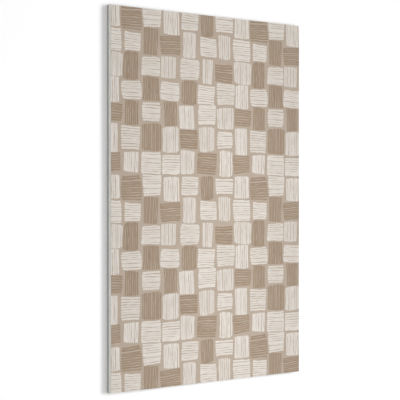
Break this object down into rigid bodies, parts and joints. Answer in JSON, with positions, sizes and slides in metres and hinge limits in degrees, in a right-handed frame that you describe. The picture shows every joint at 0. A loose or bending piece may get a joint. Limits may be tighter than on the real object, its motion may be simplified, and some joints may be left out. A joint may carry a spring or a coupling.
{
  "type": "acoustic felt wall panel",
  "caption": "Flat oblong board of pressed felt that is fixed to a wall to soak up sound, with a basket-weave print on its face and a slanted back edge.",
  "frame": {"origin": "middle of the back face, which is glued or clipped to the wall and which the board lies on", "axes": "+X across the board to the right of the print, +Y up the print along the board's length, +Z out of the printed face"},
  "size_m": [0.6, 0.9, 0.012],
  "materials": {
    "felt": "pressed pale grey polyester felt, matt",
    "cream_ink": "cream brush strokes printed on the felt, matt",
    "brown_ink": "brown brush strokes printed on the felt, matt"
  },
  "bodies": {
    "root": {"felt_panel": "felt"}
  },
  "joints": []
}
